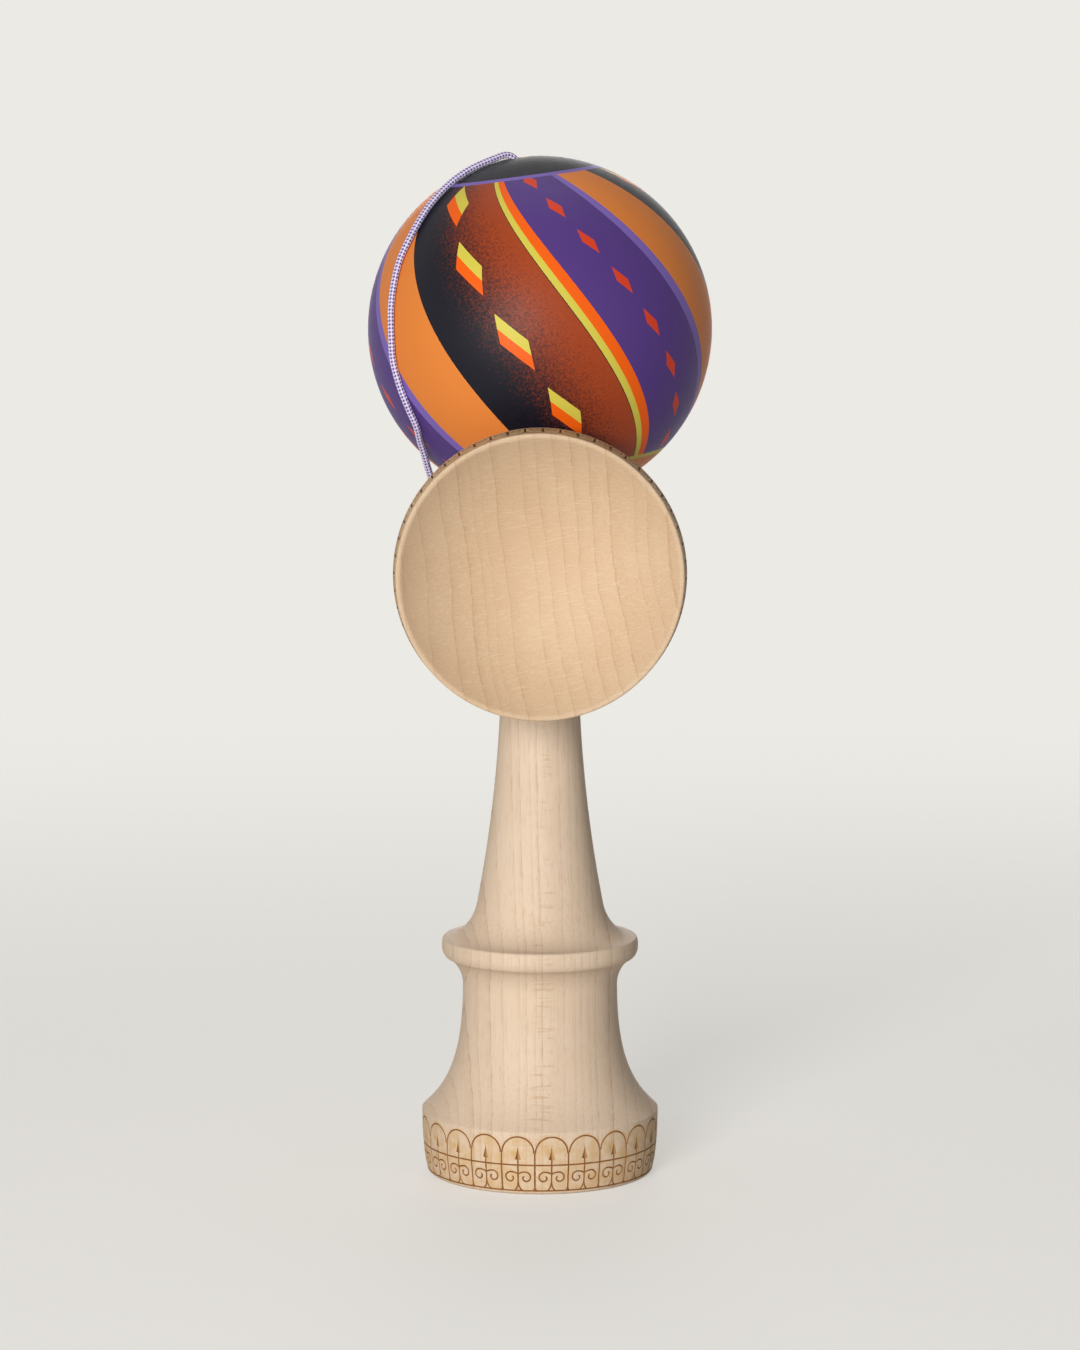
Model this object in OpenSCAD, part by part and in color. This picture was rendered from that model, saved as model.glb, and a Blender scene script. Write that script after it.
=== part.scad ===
// Kendama: a turned wooden handle (ken) with a spike, a cross-piece with two cups (sarado),
// a bored ball (tama) seated on the spike, and the string that ties ball and handle together.
// The origin is at the middle of the base cup's foot, +Z runs up the spike and the big cup faces -Y.

/* [Ball] */
// Diameter of the ball
tama_d = 60; // [54:0.5:66]
// Diameter of the hole that takes the spike
tama_hole_d = 22; // [21:0.5:24]
// Diameter of the hole's bevelled mouth
tama_mouth_d = 26; // [25:0.5:28]
// Wood left between the end of the hole and the top of the ball
tama_top_wall = 10; // [8:0.5:12]
// Lean of the ball to the left, in degrees
tama_tilt = 7.5; // [0:0.5:8]
// Diameter of the string hole in the top of the ball
string_hole_d = 2.5; // [2.2:0.1:3]

/* [Handle] */
// Greatest radius of the base cup
base_r = 21; // [19:0.5:24]
// Height of the base cup's wall, from the foot to its shoulder
base_wall_h = 11.3; // [9:0.1:13]
// Outer radius of the flat foot that the handle stands on
foot_r = 19.2; // [17.5:0.1:19.2]
// Width of the flat foot
foot_w = 0.9; // [0.6:0.1:2]
// Radius of the base cup's hollow
base_bowl_r = 31; // [26:0.5:40]
// Least radius of the grip below the ring
grip_r = 13.7; // [12:0.1:15]
// Greatest radius of the ring round the grip
ring_r = 17.4; // [16.5:0.1:19]
// Height of the ring's widest place above the foot
ring_z = 40.5; // [36:0.1:46]
// Radius of the shaft where the ring's hollow ends
shaft_r = 11.1; // [10:0.1:12]
// Radius of the neck below the cross-piece
neck_r = 7; // [6.9:0.05:7.5]
// Radius of the tapered seat at the height of the cross-piece's axis
seat_r = 6.85; // [6.4:0.05:7]
// Radius that the seat loses from its bottom to its top
seat_taper = 0.2; // [0.1:0.05:0.4]
// Radius of the spike where its tip begins to round
spike_tip_r = 4.2; // [3.5:0.1:5]

/* [Cross-piece] */
// Height of the cross-piece's axis above the foot
sarado_z = 110; // [100:0.5:120]
// Length of the cross-piece from cup to cup
sarado_l = 70; // [66:0.5:78]
// Least radius of the waist
waist_r = 11.8; // [11:0.1:13]
// How much wider the waist is where the ball's mouth sits on it
saddle_rise = 0.55; // [0.2:0.05:0.8]
// Outer diameter of the big cup
big_cup_d = 49.8; // [46:0.2:54]
// Outer diameter of the small cup
small_cup_d = 42; // [38:0.2:46]
// Length of each cup's outer wall, from its rear edge to its face
cup_wall_l = 5.5; // [4:0.1:8]
// Radius that each cup's outer wall loses towards its face
wall_taper = 0.55; // [0.2:0.05:0.8]
// Width of the lip round each hollow
lip_w = 0.6; // [0.4:0.05:2]
// Radius of the big cup's hollow
big_bowl_r = 32; // [30:0.5:40]
// Radius of the small cup's hollow
small_bowl_r = 30; // [27:0.5:38]

/* [String] */
// Diameter of the string
string_d = 1.2; // [0.9:0.1:1.3]
// Diameter of the bead inside the ball
bead_d = 6; // [5:0.5:8]
// Diameter of each end knot
knot_d = 3; // [2.4:0.1:3.4]
// Length of each end knot
knot_l = 2; // [1.5:0.1:3]
// Diameter of the string's hole across handle and cross-piece
cross_hole_d = 2.4; // [2:0.1:3]

/* [Clearances] */
// Radial play of the cross-piece on its seat
seat_clearance = 0.05; // [0.02:0.01:0.1]
// Gap between the ball's mouth and the saddle
saddle_gap = 0.12; // [0.1:0.02:0.5]
// Gap between the string and what it lies on
string_gap = 0.25; // [0.2:0.05:0.5]
// Gap between the layers of slack string
layer_gap = 0.55; // [0.45:0.05:0.8]
// Least gap between the turns of slack string
turn_gap = 0.42; // [0.42:0.02:0.8]
// Gap between the slack string and the wall of the ball's hole
coil_wall_gap = 0.5; // [0.4:0.05:0.6]
// Gap between each end knot and what it stops against
knot_gap = 0.1; // [0.1:0.05:0.3]
// Gap between the spike's tip and the knot above it
tip_gap = 0.4; // [0.3:0.1:1]
// Play of the end knot in the handle's pocket
pocket_play = 1.2; // [0.6:0.1:1.6]

/* [Hidden] */
$fn = 72;
curve_steps = 8;
cut = 1;

// Colours of the wood, the paint, the bead and the string
maple = [0.86, 0.76, 0.64];
cup_maple = [0.84, 0.72, 0.56];
paint = [0.59, 0.24, 0.12];
bead_colour = [0.9, 0.88, 0.84];
string_colour = [0.7, 0.64, 0.82];

// Roundings: the foot's edge, the shoulder above the base wall, and each cup's outer edge
foot_edge = 0.95;
shoulder_edge = 0.3;
cup_edge = 0.3;

// Ring on the grip, from its widest place as [in, along]: its lower edge, the undercut inside that edge,
// and its crest; then the heights of the fillet below the undercut and of the hollow above the crest
ring_edge = [-0.65, -1.65];
ring_under = [-1, -1.8];
ring_crest = [-0.5, 1.7];
ring_fillet_h = 5;
ring_hollow_h = 6.4;
fillet_w = ring_r + ring_under[0] - grip_r;
neck_below_axis = 26;

// Places of the seat, which runs a little past the waist at both ends
seat_over = 1.5;
seat_half = waist_r + seat_over;
seat_low_r = seat_r + seat_taper / 2;
seat_high_r = seat_r - seat_taper / 2;

// Ball: depth of its mouth below the centre, and the height of its centre when it sits on the saddle
tama_r = tama_d / 2;
hole_r = tama_hole_d / 2;
mouth_r = tama_mouth_d / 2;
mouth_drop = sqrt(tama_r * tama_r - mouth_r * mouth_r);
saddle_r = waist_r + saddle_rise;
tama_z = sarado_z + (mouth_drop + saddle_r + saddle_gap) / cos(tama_tilt);
hole_end = tama_r - tama_top_wall;

// Eased edges of the string's holes: at the ends, and the wider one at the top of the ball
hole_ease = 1;
pole_ease_h = 2;
pole_ease_r = 1.5;

// String inside the ball, from the hole's end down: two layers of slack, then the bead and its knot.
// The string bends level, then round into the innermost turn, and each layer has the turns that fit
string_r = string_d / 2;
bend_r = 2 * string_d;
bend_step = 15;
whole_bend = 90 + 135;
joins_at = 45;
coil_in_r = (1 + sqrt(2)) * bend_r;
layer_step = string_d + layer_gap;
layer_1 = hole_end - string_r - string_gap;
layer_2 = layer_1 - layer_step;
coil_out_r = hole_r - string_r - coil_wall_gap;
coil_turns = floor((coil_out_r - coil_in_r) / (string_d + turn_gap) - 0.5) + 0.5;
coil_pitch = (coil_out_r - coil_in_r) / coil_turns;
bead_top = layer_2 - bend_r;
bead_z = bead_top - bead_d / 2;
bead_hole_d = string_d + 2 * string_gap;
knot_top = bead_top - bead_d - knot_gap;
knot_bottom = knot_top - knot_l;
knot_round = 0.4 * knot_l;
pole_join = tama_r + string_r + string_gap - bend_r;
string_sides = 8;
coil_sides = 6;
loop_rings = 24;
dip_from = 207;

// Spike: its tip stands just below the bead's knot
tip_round = 3.6;
tip_z = tama_z + knot_bottom * cos(tama_tilt) - knot_d / 2 * sin(tama_tilt) - tip_gap;

// Cross hole for the string in the handle, with a pocket on the right for the end knot
knot_seat_x = 2.8;
knot_x = knot_seat_x + knot_gap;
pocket_d = knot_d + pocket_play;
exit_over = 0.8;
side_join = waist_r + exit_over;

// Turned curves: how the first and the last end of each is drawn, as [out, along] from that end
wall_pulls = [[0.5, 2], [-0.05, -base_wall_h / 2]];
flare_pulls = [[-4.5, 4], [0, -12.3]];
fillet_pulls = [[0, 2], [-0.62 * fillet_w, -0.39 * fillet_w]];
bulge_pulls = [[0.35, 0.3], [0, -0.7]];
crest_pulls = [[0, 1.1], [0.45, -0.06]];
hollow_pulls = [[-3.4, 0.35], [0.45, -2.9]];
shaft_pulls = [[-1.9, 9.9], [0.6, -14]];
tip_pulls = [[-0.2, 2.4], [0.6 * spike_tip_r, 0]];
waist_pulls = [[0, mouth_r / 2], [-0.6 * saddle_rise, -mouth_r / 4]];
cup_pulls = [[0.85, 5], [-6.1, -3.5]];
cup_corner = [1.3, 0.2];

// String route from the side of the cross-piece up to the ball, then over the ball to its top as
// directions from the ball's centre: degrees round from +X and degrees above the level
route_free = [[-12.6, 0, 110], [-13, 0, 110], [-13.78, -0.08, 110.12], [-14.49, -0.29, 110.45],
              [-15.03, -0.62, 110.96], [-15.34, -1.02, 111.58], [-16, -2.6, 114], [-16.7, -4.2, 116.5],
              [-17.4, -5.8, 119], [-18.1, -7.4, 121.5], [-18.7, -9, 124], [-19.4, -10.6, 126.5],
              [-20, -12.2, 129], [-20.7, -13.8, 131.5]];
route_ball = [[216, -31], [216, -24], [215, -16], [214, -8], [214, 0], [213, 8], [212, 16], [211, 24],
              [211, 32], [210, 40], [208, 48], [205, 57], [202, 65], [198, 73]];

// Points along a cubic curve, leaving out its first point
function curve(p0, p1, p2, p3) = [for (i = [1 : curve_steps]) let (t = i / curve_steps, s = 1 - t)
    s * s * s * p0 + 3 * s * s * t * p1 + 3 * s * t * t * p2 + t * t * t * p3];

// Curve between two places of an outline, drawn at both ends
function drawn(from, pulls, to) = curve(from, from + pulls[0], to + pulls[1], to);

// Arc from angle a0 to a1 about a centre, as points
function arc(centre, r, a0, a1, steps) = [for (i = [0 : steps]) let (a = a0 + (a1 - a0) * i / steps)
    centre + r * [cos(a), sin(a)]];

function unit(v) = v / norm(v);

// Direction of a path at point i
function along(path, i) = unit(path[min(i + 1, len(path) - 1)] - path[max(i - 1, 0)]);

// Frames that turn as little as possible along a path
function square_to(v, t) = unit(v - (v * t) * t);
function sides_of(path, first) = [for (i = 0, v = square_to(first, along(path, 0)); i < len(path);
    i = i + 1, v = i < len(path) ? square_to(v, along(path, i)) : v) v];

// Tube of round section along a path, closed at both ends, all in triangles
module tube(path, r, sides, first) {
    side = sides_of(path, first);
    n = len(path);
    ring_points = [for (i = [0 : n - 1]) let (t = along(path, i), u = side[i], w = cross(t, u))
        for (k = [0 : sides - 1]) path[i] + r * (cos(360 * k / sides) * u + sin(360 * k / sides) * w)];
    skin = [for (i = [0 : n - 2]) for (k = [0 : sides - 1])
        let (a = i * sides + k, b = i * sides + (k + 1) % sides)
        for (f = [[a, a + sides, b], [b, a + sides, b + sides]]) f];
    near_cap = [for (k = [1 : sides - 2]) [0, k, k + 1]];
    far = (n - 1) * sides;
    far_cap = [for (k = [1 : sides - 2]) [far, far + k + 1, far + k]];
    polyhedron(points = ring_points, faces = concat(skin, near_cap, far_cap), convexity = 10);
}

// Outline of the handle: foot, base wall, grip, ring, neck, seat and spike
function ken_outline() = let (
        foot_out = [foot_r + foot_edge, foot_edge],
        wall_top = [base_r, base_wall_h],
        shoulder = [base_r - shoulder_edge, base_wall_h + shoulder_edge],
        widest = [ring_r, ring_z],
        under = widest + ring_under,
        grip = [grip_r, under[1] - ring_fillet_h],
        crest = widest + ring_crest,
        shaft = [shaft_r, crest[1] + ring_hollow_h],
        neck = [neck_r, sarado_z - neck_below_axis],
        seat_low = [seat_low_r, sarado_z - seat_half],
        seat_high = [seat_high_r, sarado_z + seat_half],
        spike = [spike_tip_r, tip_z - tip_round])
    concat([[0, 0]],
        arc([foot_r, foot_edge], foot_edge, -90, 0, 3),
        drawn(foot_out, wall_pulls, wall_top),
        [shoulder],
        drawn(shoulder, flare_pulls, grip),
        drawn(grip, fillet_pulls, under),
        [widest + ring_edge],
        drawn(widest + ring_edge, bulge_pulls, widest),
        drawn(widest, crest_pulls, crest),
        drawn(crest, hollow_pulls, shaft),
        drawn(shaft, shaft_pulls, neck),
        [seat_low, seat_high, spike],
        drawn(spike, tip_pulls, [0, tip_z]));

// Radius at which a cup's rounded edge meets its face
function lip_r(cup_r) = cup_r - wall_taper - cup_edge;

// Half of the cross-piece's outline, from its waist to one cup's face
function cup_outline(cup_r) = let (
        face = sarado_l / 2,
        saddle = [saddle_r, mouth_r],
        wall_start = [cup_r, face - cup_wall_l])
    concat([[0, 0], [waist_r, 0]],
        drawn([waist_r, 0], waist_pulls, saddle),
        drawn(saddle, cup_pulls, wall_start - cup_corner),
        [wall_start],
        arc([lip_r(cup_r), face - cup_edge], cup_edge, 0, 90, 3),
        [[0, face]]);

// Ball that hollows a cup: a sphere that cuts the face at the given rim radius
module hollow(bowl_r, rim_r) {
    translate([0, 0, sqrt(bowl_r * bowl_r - rim_r * rim_r)]) sphere(bowl_r);
}

// Puts a child in the leaning ball's own frame, with its centre at the origin and its hole along -Z
module in_ball() {
    translate([0, 0, tama_z]) rotate([0, -tama_tilt, 0]) children();
}

// Round cut along X at the height of the cross-piece's axis
module side_cut(d, from_x, to_x) {
    translate([from_x, 0, sarado_z]) rotate([0, 90, 0]) cylinder(d = d, h = to_x - from_x);
}

// Turned handle
module ken() {
    color(maple) difference() {
        rotate_extrude() polygon(ken_outline());
        mirror([0, 0, 1]) hollow(base_bowl_r, foot_r - foot_w);
        side_cut(cross_hole_d, -seat_low_r - cut, knot_seat_x + cut);
        side_cut(pocket_d, knot_seat_x, seat_low_r + cut);
    }
}

// Turned cross-piece
module sarado() {
    color(cup_maple) difference() {
        translate([0, 0, sarado_z]) rotate([90, 0, 0]) difference() {
            union() {
                rotate_extrude() polygon(cup_outline(big_cup_d / 2));
                mirror([0, 0, 1]) rotate_extrude() polygon(cup_outline(small_cup_d / 2));
            }
            translate([0, 0, sarado_l / 2]) hollow(big_bowl_r, lip_r(big_cup_d / 2) - lip_w);
            translate([0, 0, -sarado_l / 2]) mirror([0, 0, 1])
                hollow(small_bowl_r, lip_r(small_cup_d / 2) - lip_w);
        }
        translate([0, 0, sarado_z - seat_half])
            cylinder(r1 = seat_low_r + seat_clearance, r2 = seat_high_r + seat_clearance, h = 2 * seat_half);
        side_cut(cross_hole_d, -waist_r - cut, -seat_r + cut);
        translate([-waist_r - cut, 0, sarado_z]) rotate([0, 90, 0])
            cylinder(d1 = cross_hole_d + 2 * (hole_ease + cut), d2 = cross_hole_d, h = hole_ease + cut);
    }
}

// Bored ball
module tama() {
    mouth_cut = tama_r + cut - mouth_drop;
    pole_cut = pole_ease_h + cut;
    color(paint) in_ball() difference() {
        sphere(tama_r);
        translate([0, 0, -tama_r - cut]) cylinder(d = tama_hole_d, h = hole_end + tama_r + cut);
        translate([0, 0, -tama_r - cut])
            cylinder(r1 = mouth_r + mouth_cut, r2 = hole_r, h = mouth_cut + mouth_r - hole_r);
        cylinder(d = string_hole_d, h = tama_r + cut);
        translate([0, 0, hole_end - cut])
            cylinder(d1 = string_hole_d + 2 * (hole_ease + cut), d2 = string_hole_d, h = hole_ease + cut);
        translate([0, 0, tama_r - pole_ease_h])
            cylinder(d1 = string_hole_d, d2 = string_hole_d + 2 * pole_ease_r * pole_cut / pole_ease_h,
                     h = pole_cut);
    }
}

// Bead that the string is tied to
module bead() {
    color(bead_colour) in_ball() translate([0, 0, bead_z]) difference() {
        sphere(d = bead_d);
        cylinder(d = bead_hole_d, h = 2 * bead_d, center = true);
    }
}

// End knot: a small rounded barrel whose flat top meets the string
module knot() {
    r = knot_d / 2;
    rotate_extrude() polygon(concat([[0, 0]], arc([r - knot_round, knot_round], knot_round, -90, 0, 4),
        arc([r - knot_round, knot_l - knot_round], knot_round, 0, 90, 4), [[0, knot_l]]));
}

// Knot under the bead
module bead_knot() {
    color(string_colour) in_ball() translate([0, 0, knot_bottom]) knot();
}

// Knot in the handle's pocket
module ken_knot() {
    color(string_colour) translate([knot_x, 0, sarado_z]) rotate([0, 90, 0]) knot();
}

// String from its knot in the handle to the left side of the cross-piece
module string_in_ken() {
    steps = 6;
    color(string_colour) tube([for (i = [0 : steps]) [knot_x - (knot_x + side_join) * i / steps, 0, sarado_z]],
        string_r, string_sides, [0, 1, 0]);
}

// Point on the string's line over the ball, from a direction
function on_ball(d) = [0, 0, tama_z]
    + (tama_r + string_r + string_gap) * [cos(d[1]) * cos(d[0]), cos(d[1]) * sin(d[0]), sin(d[1])];

// The ball's frame as a function, for points
function ball_point(p) = [p[0] * cos(tama_tilt) - p[2] * sin(tama_tilt), p[1],
                          tama_z + p[0] * sin(tama_tilt) + p[2] * cos(tama_tilt)];

// String over the ball, dipping into the hole at its top
function dip(a) = let (r = bend_r * (1 - sin(a)))
    ball_point([r * cos(dip_from), r * sin(dip_from), pole_join + bend_r * cos(a)]);
module string_outer() {
    path = concat(route_free, [for (d = route_ball) on_ball(d)], [for (a = [0 : 22.5 : 90]) dip(a)]);
    echo(outer_length = path_length(path));
    color(string_colour) tube(path, string_r, string_sides, [0, 0, 1]);
}

// Slack string: through the ball's top, one layer winding outwards, one back inwards, then the bead
function ease(u) = u * u * (3 - 2 * u);
function bent(a) = bend_r * (a < 90 ? [1 - cos(a), 0, 1 - sin(a)] : [1 - cos(a), 1 - sin(a), 0]);
function entry(a) = bent(a) + [0, 0, layer_1];
function turn(a) = let (half = 360 * coil_turns, back = a > half, way = a + joins_at,
        r = back ? coil_out_r - coil_pitch * (a - half) / 360 : coil_in_r + coil_pitch * a / 360,
        climb = ease(min(1, max(0, (a - half + 90) / 180))))
    [r * cos(way), r * sin(way), layer_1 - layer_step * climb];
function leave(a) = let (p = bent(a)) [p[1], p[0], layer_2 - p[2]];
function slack_path() = concat(
    [for (i = [0 : 2]) [0, 0, pole_join + (layer_1 + bend_r - pole_join) * i / 3]],
    [for (a = [0 : bend_step : whole_bend - bend_step]) entry(a)],
    [for (i = [0 : 2 * coil_turns * loop_rings]) turn(360 * i / loop_rings)],
    [for (a = [whole_bend - bend_step : -bend_step : 0]) leave(a)],
    [for (i = [1 : 3]) [0, 0, bead_top + (knot_top - bead_top) * i / 3]]);

// Least gap of the wound string to itself, measured between its points half a turn or more apart
function self_gap(path) = min([for (i = [0 : len(path) - 1]) for (j = [i + loop_rings / 2 : 1 : len(path) - 1])
    norm(path[i] - path[j])]) - string_d;
function path_length(path) = len(path) < 2 ? 0
    : [for (i = 1, s = norm(path[1] - path[0]); i < len(path);
       i = i + 1, s = i < len(path) ? s + norm(path[i] - path[i - 1]) : s) s][len(path) - 2];

module string_slack() {
    path = slack_path();
    echo(least_gap = self_gap(path), slack_length = path_length(path));
    color(string_colour) in_ball() tube(path, string_r, coil_sides, [1, 0, 0]);
}

ken();
sarado();
tama();
bead();
bead_knot();
ken_knot();
string_in_ken();
string_outer();
string_slack();
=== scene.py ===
import math

import bpy
from mathutils import Matrix, Vector
from mathutils.geometry import delaunay_2d_cdt, interpolate_bezier


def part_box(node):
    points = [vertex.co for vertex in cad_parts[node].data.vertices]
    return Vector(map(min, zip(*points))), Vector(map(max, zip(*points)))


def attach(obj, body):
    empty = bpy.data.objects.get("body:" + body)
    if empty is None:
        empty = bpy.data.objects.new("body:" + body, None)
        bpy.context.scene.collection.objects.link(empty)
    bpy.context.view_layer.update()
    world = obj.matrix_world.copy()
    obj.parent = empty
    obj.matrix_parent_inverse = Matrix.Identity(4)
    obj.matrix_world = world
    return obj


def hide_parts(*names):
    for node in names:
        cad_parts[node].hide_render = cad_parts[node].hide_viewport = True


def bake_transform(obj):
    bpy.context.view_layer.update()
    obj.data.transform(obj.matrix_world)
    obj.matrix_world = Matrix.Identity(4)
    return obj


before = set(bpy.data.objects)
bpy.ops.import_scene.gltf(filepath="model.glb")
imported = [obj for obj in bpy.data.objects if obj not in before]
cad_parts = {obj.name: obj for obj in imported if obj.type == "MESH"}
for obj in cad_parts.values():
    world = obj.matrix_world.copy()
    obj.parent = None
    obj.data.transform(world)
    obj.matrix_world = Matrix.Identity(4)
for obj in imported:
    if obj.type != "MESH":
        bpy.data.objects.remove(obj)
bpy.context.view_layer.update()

# Handle (ken): one billet of hard maple, with its fibres running up the handle.
# Turned on a lathe from the foot to the spike, finely sanded and left bare,
# then drilled across the seat for the string, with a wider pocket for its end knot.
mm = 0.001
ken_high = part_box("ken")[1]
base_r = ken_high.x / mm
tip_z = ken_high.z / mm
foot_r, foot_w, foot_edge = 19.2, 0.9, 0.95
base_bowl_r = 31
wall_h, shoulder_edge = 11.3, 0.3
grip = (13.7, 33.7)
ring_under, ring_edge = (16.4, 38.7), (16.75, 38.85)
ring_widest, ring_crest = (17.4, 40.5), (16.9, 42.2)
shaft = (11.1, 48.6)
neck = (7, 84)
seat_low, seat_high = (6.95, 96.7), (6.75, 123.3)
spike_end = (4.2, tip_z - 3.6)
# How far each turned curve is drawn out at its start and back at its end, as radius and height
wall_pulls = (0.5, 2), (-0.05, -wall_h / 2)
flare_pulls = (-4.5, 4), (0, -12.3)
fillet_pulls = (0, 2), (-1.67, -1.05)
bulge_pulls = (0.35, 0.3), (0, -0.7)
crest_pulls = (0, 1.1), (0.45, -0.06)
hollow_pulls = (-3.4, 0.35), (0.45, -2.9)
shaft_pulls = (-1.9, 9.9), (0.6, -14)
tip_pulls = (-0.2, 2.4), (2.5, 0)
cross_hole_r, pocket_r, knot_seat_x = 1.2, 2.1, 2.8
drill_reach, overshoot, hole_sides = 9, 1, 40
# Band of the railing, its bays and their columns of faces, and its first post in degrees from the front
band_low, band_high = 0.5, 11.2
bays_round_base, bay_columns = 22, 8
first_post = -2.5


def drawn(start, pulls, end, steps=14):
    """Points of a turned curve after its start, in millimetres; pulls say how each end is drawn."""
    start, end = Vector(start), Vector(end)
    handles = start + Vector(pulls[0]), end + Vector(pulls[1])
    return [tuple(p) for p in interpolate_bezier(start, *handles, end, steps)[1:]]


def arc(centre, radius, first, last, steps):
    """Points of an arc of an outline, in millimetres, between two angles in degrees."""
    turns = [math.radians(first + (last - first) * i / steps) for i in range(steps + 1)]
    return [(centre[0] + radius * math.cos(a), centre[1] + radius * math.sin(a)) for a in turns]


def at_height(outline, height):
    """The point of a rising outline at a height."""
    for (r0, z0), (r1, z1) in zip(outline, outline[1:]):
        if z0 <= height <= z1 and z1 > z0:
            return r0 + (r1 - r0) * (height - z0) / (z1 - z0), height


def new_piece(name, points, faces):
    """A piece whose mesh has its place in it."""
    mesh = bpy.data.meshes.new(name)
    mesh.from_pydata(points, [], faces)
    piece = bpy.data.objects.new(name, mesh)
    bpy.context.scene.collection.objects.link(piece)
    return piece


def turned(name, outline, sides, first=0, place=Matrix()):
    """A piece spun about Z from an outline of radius and height in millimetres, then put in its place."""
    points, rings, faces = [], [], []
    ring_of = {}
    for spot in outline:
        if spot not in ring_of:
            count = sides if spot[0] > 0 else 1
            ring_of[spot] = [len(points) + k for k in range(count)]
            for k in range(count):
                turn = math.radians(first + 360 * k / sides)
                across = Vector((math.cos(turn), math.sin(turn), 0)) * spot[0]
                points.append(place @ ((across + Vector((0, 0, spot[1]))) * mm))
        rings.append(ring_of[spot])
    for low, high in zip(rings, rings[1:]):
        for k in range(sides):
            corners = [low[k % len(low)], low[(k + 1) % len(low)],
                       high[(k + 1) % len(high)], high[k % len(high)]]
            faces.append(list(dict.fromkeys(corners)))
    return new_piece(name, points, faces)


def settle(piece):
    """Turns a piece's modifiers into plain mesh."""
    seen = piece.evaluated_get(bpy.context.evaluated_depsgraph_get())
    mesh = bpy.data.meshes.new_from_object(seen)
    piece.modifiers.clear()
    piece.data = mesh


def drilled(piece, drills):
    """Cuts each drill's shape out of a piece."""
    for drill in drills:
        cut = piece.modifiers.new(drill.name, "BOOLEAN")
        cut.operation = "DIFFERENCE"
        cut.solver = "EXACT"
        cut.object = drill
    settle(piece)
    for drill in drills:
        bpy.data.objects.remove(drill)


def opened(piece, low, high):
    """Takes the row of faces between two heights off a turned wall, for an engraved one."""
    mesh = piece.data
    levels = [low * mm, high * mm]
    kept = [p.vertices[:] for p in mesh.polygons
            if {round(mesh.vertices[v].co.z, 7) for v in p.vertices} != {round(z, 7) for z in levels}]
    points = [v.co.copy() for v in mesh.vertices]
    mesh.clear_geometry()
    mesh.from_pydata(points, [], kept)


def smoothed(piece, crease=20):
    """Shades a piece smooth, with creases where its faces turn by more than an angle in degrees."""
    piece.data.polygons.foreach_set("use_smooth", [True] * len(piece.data.polygons))
    piece.data.set_sharp_from_angle(angle=math.radians(crease))


base_rim = foot_r - foot_w
base_bowl_z = -math.sqrt(base_bowl_r ** 2 - base_rim ** 2)
base_bowl = arc((0, base_bowl_z), base_bowl_r, 90, math.degrees(math.acos(base_rim / base_bowl_r)), 24)
base_bowl[0] = (0, base_bowl_z + base_bowl_r)
foot = arc((foot_r, foot_edge), foot_edge, -90, 0, 8)
base_wall = foot + drawn(foot[-1], wall_pulls, (base_r, wall_h), 24)
shoulder = (base_r - shoulder_edge, wall_h + shoulder_edge)
ken_outline = (
    base_bowl + [p for p in foot if p[1] < band_low] + [at_height(base_wall, band_low)]
    + [at_height(base_wall, band_high), base_wall[-1], shoulder]
    + drawn(shoulder, flare_pulls, grip, 32)
    + drawn(grip, fillet_pulls, ring_under)
    + [ring_edge]
    + drawn(ring_edge, bulge_pulls, ring_widest)
    + drawn(ring_widest, crest_pulls, ring_crest)
    + drawn(ring_crest, hollow_pulls, shaft, 20)
    + drawn(shaft, shaft_pulls, neck, 28)
    + [seat_low, seat_high, spike_end]
    + drawn(spike_end, tip_pulls, (0, tip_z), 12)[:-1] + [(0, tip_z)]
)
ken = turned("ken_turned", ken_outline, bays_round_base * bay_columns, first_post - 90)

sarado_z = (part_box("sarado")[0].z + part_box("sarado")[1].z) / 2 / mm
along_x = Matrix.Translation((0, 0, sarado_z * mm)) @ Matrix.Rotation(math.pi / 2, 4, "Y")


def drill_bit(name, radius, start, end, place):
    """A plain round cutter between two heights in millimetres, put in its place."""
    radii = radius if isinstance(radius, tuple) else (radius, radius)
    return turned(name, [(0, start), (radii[0], start), (radii[1], end), (0, end)], hole_sides, place=place)


drilled(ken, [drill_bit("string_drill", cross_hole_r, -drill_reach, knot_seat_x + overshoot, along_x),
              drill_bit("pocket_drill", pocket_r, knot_seat_x, drill_reach, along_x)])
opened(ken, band_low, band_high)

# Railing on the base cup: a common iron railing of arches, spear heads and scrolls, one bay 6 mm wide.
# Burnt into the bare maple as fine grooves, darkest on their floors, with the wood under the arches toasted.
# One bay is drawn flat, sunk, bent to the wall, and repeated round it with the handle's own maple.
line_w, floor_share, groove_depth = 0.3, 0.45, 0.1
sill_h, rail_h, spring_h = 0.8, 5.5, 7.7
stem_leg, post_leg = (0.95, 1.8), (0.45, 0.7)
scroll_at, scroll_small, scroll_large = (1.36, 3.27), 0.28, 0.8
scroll_from, scroll_sweep, scroll_points = 157, -370, 30
scroll_curl, root_flare, root_share = 0.55, 0.45, 0.16
leg_steps = 8
head_foot, head_wide, head_tip = 6.35, 6.55, 8.85
head_half = [(0.56, head_wide), (0.33, 7.3), (0.14, 8.1)]
slope_burn, floor_burn, light_burn, any_burn = 0.6, 1, 0.25, 0.01
# Grid that joins points that all but touch, height of a row of faces, and reach of the weld to the wall
grid, row_h, weld = 0.01, 0.7, 0.0002
# Toast under an arch and the size of its patches, then two browner spots: share, place, width and height
toast_all, toast_patch = 0.5, 1.8
toast_spots = ((1, -0.95, 7.5, 0.75, 1.2), (0.7, 2.3, 6.6, 0.6, 1))


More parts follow.
